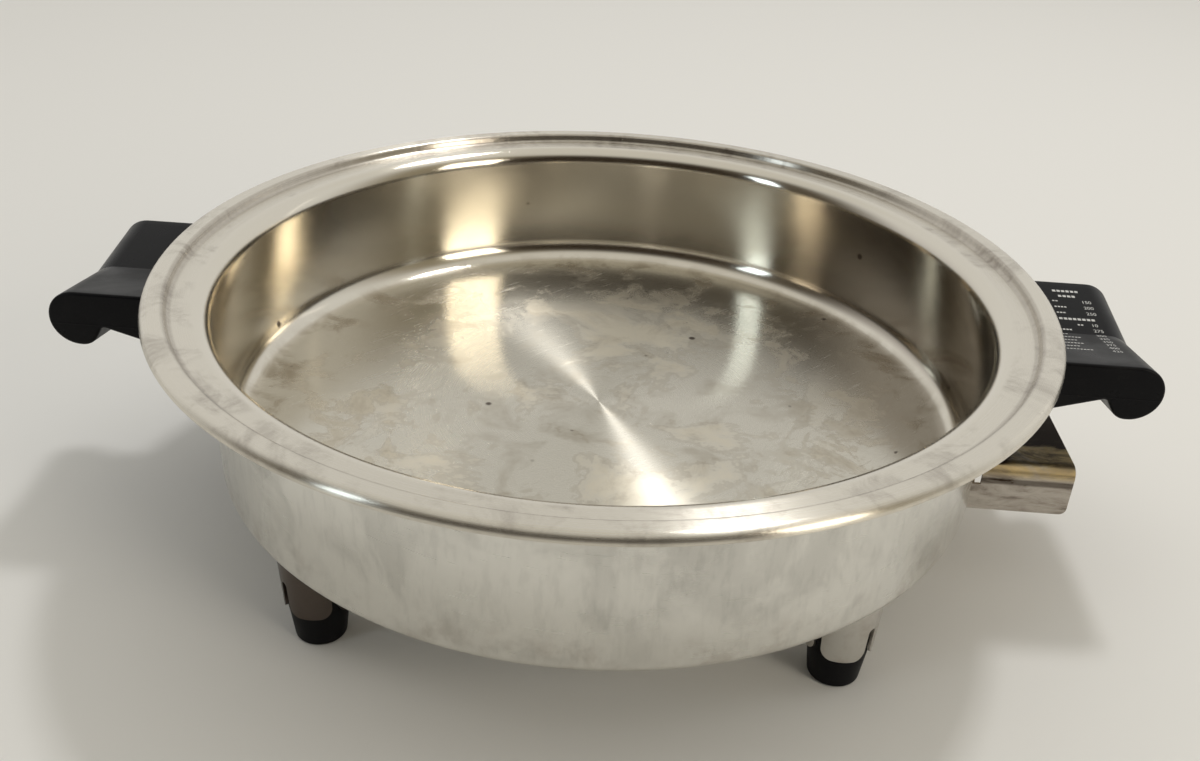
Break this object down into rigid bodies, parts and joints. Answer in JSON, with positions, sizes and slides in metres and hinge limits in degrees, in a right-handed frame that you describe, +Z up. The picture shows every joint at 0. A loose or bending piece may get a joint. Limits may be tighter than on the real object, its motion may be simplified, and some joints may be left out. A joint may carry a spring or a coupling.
{
  "type": "electric skillet",
  "caption": "Round stainless electric skillet with two black V-topped side handles, a plug-in control socket under a bent guard, and black feet in slotted ferrules",
  "frame": {"origin": "on the table, under the middle of the round pan", "axes": "X runs through both handles, +X towards the handle with the control socket; Y runs across, -Y is the side in front; Z is up"},
  "size_m": [0.3918, 0.324, 0.1015],
  "materials": {
    "pan_steel": "turned stainless, fine rings, worn and stained",
    "shell_steel": "polished stainless with fine rings",
    "cast_aluminium": "as cast",
    "sheath_steel": "heat-darkened",
    "pin_nickel": "plated, dulled",
    "ceramic": "white ceramic, unglazed",
    "guard_steel": "stainless with brown and gold heat tint",
    "handle_phenolic": "black moulded phenolic, satin gloss",
    "bracket_steel": "plated steel",
    "screw_steel": "plated steel",
    "ferrule_steel": "satin stainless",
    "foot_phenolic": "black moulded phenolic"
  },
  "bodies": {
    "root": {"cooking_pan": "pan_steel", "outer_shell": "shell_steel", "heat_spreader": "cast_aluminium", "heating_element": "sheath_steel", "sensor_well": "sheath_steel", "contact_pins": "pin_nickel", "terminal_bushes": "ceramic", "probe_guard": "guard_steel", "handle_right": "handle_phenolic", "handle_left": "handle_phenolic", "handle_bracket_right": "bracket_steel", "handle_bracket_left": "bracket_steel", "handle_screws": "screw_steel", "foot_studs": "screw_steel", "foot_nuts": "screw_steel", "leg_ferrule_front_right": "ferrule_steel", "foot_front_right": "foot_phenolic", "leg_ferrule_front_left": "ferrule_steel", "foot_front_left": "foot_phenolic", "leg_ferrule_back_right": "ferrule_steel", "foot_back_right": "foot_phenolic", "leg_ferrule_back_left": "ferrule_steel", "foot_back_left": "foot_phenolic"}
  },
  "joints": []
}
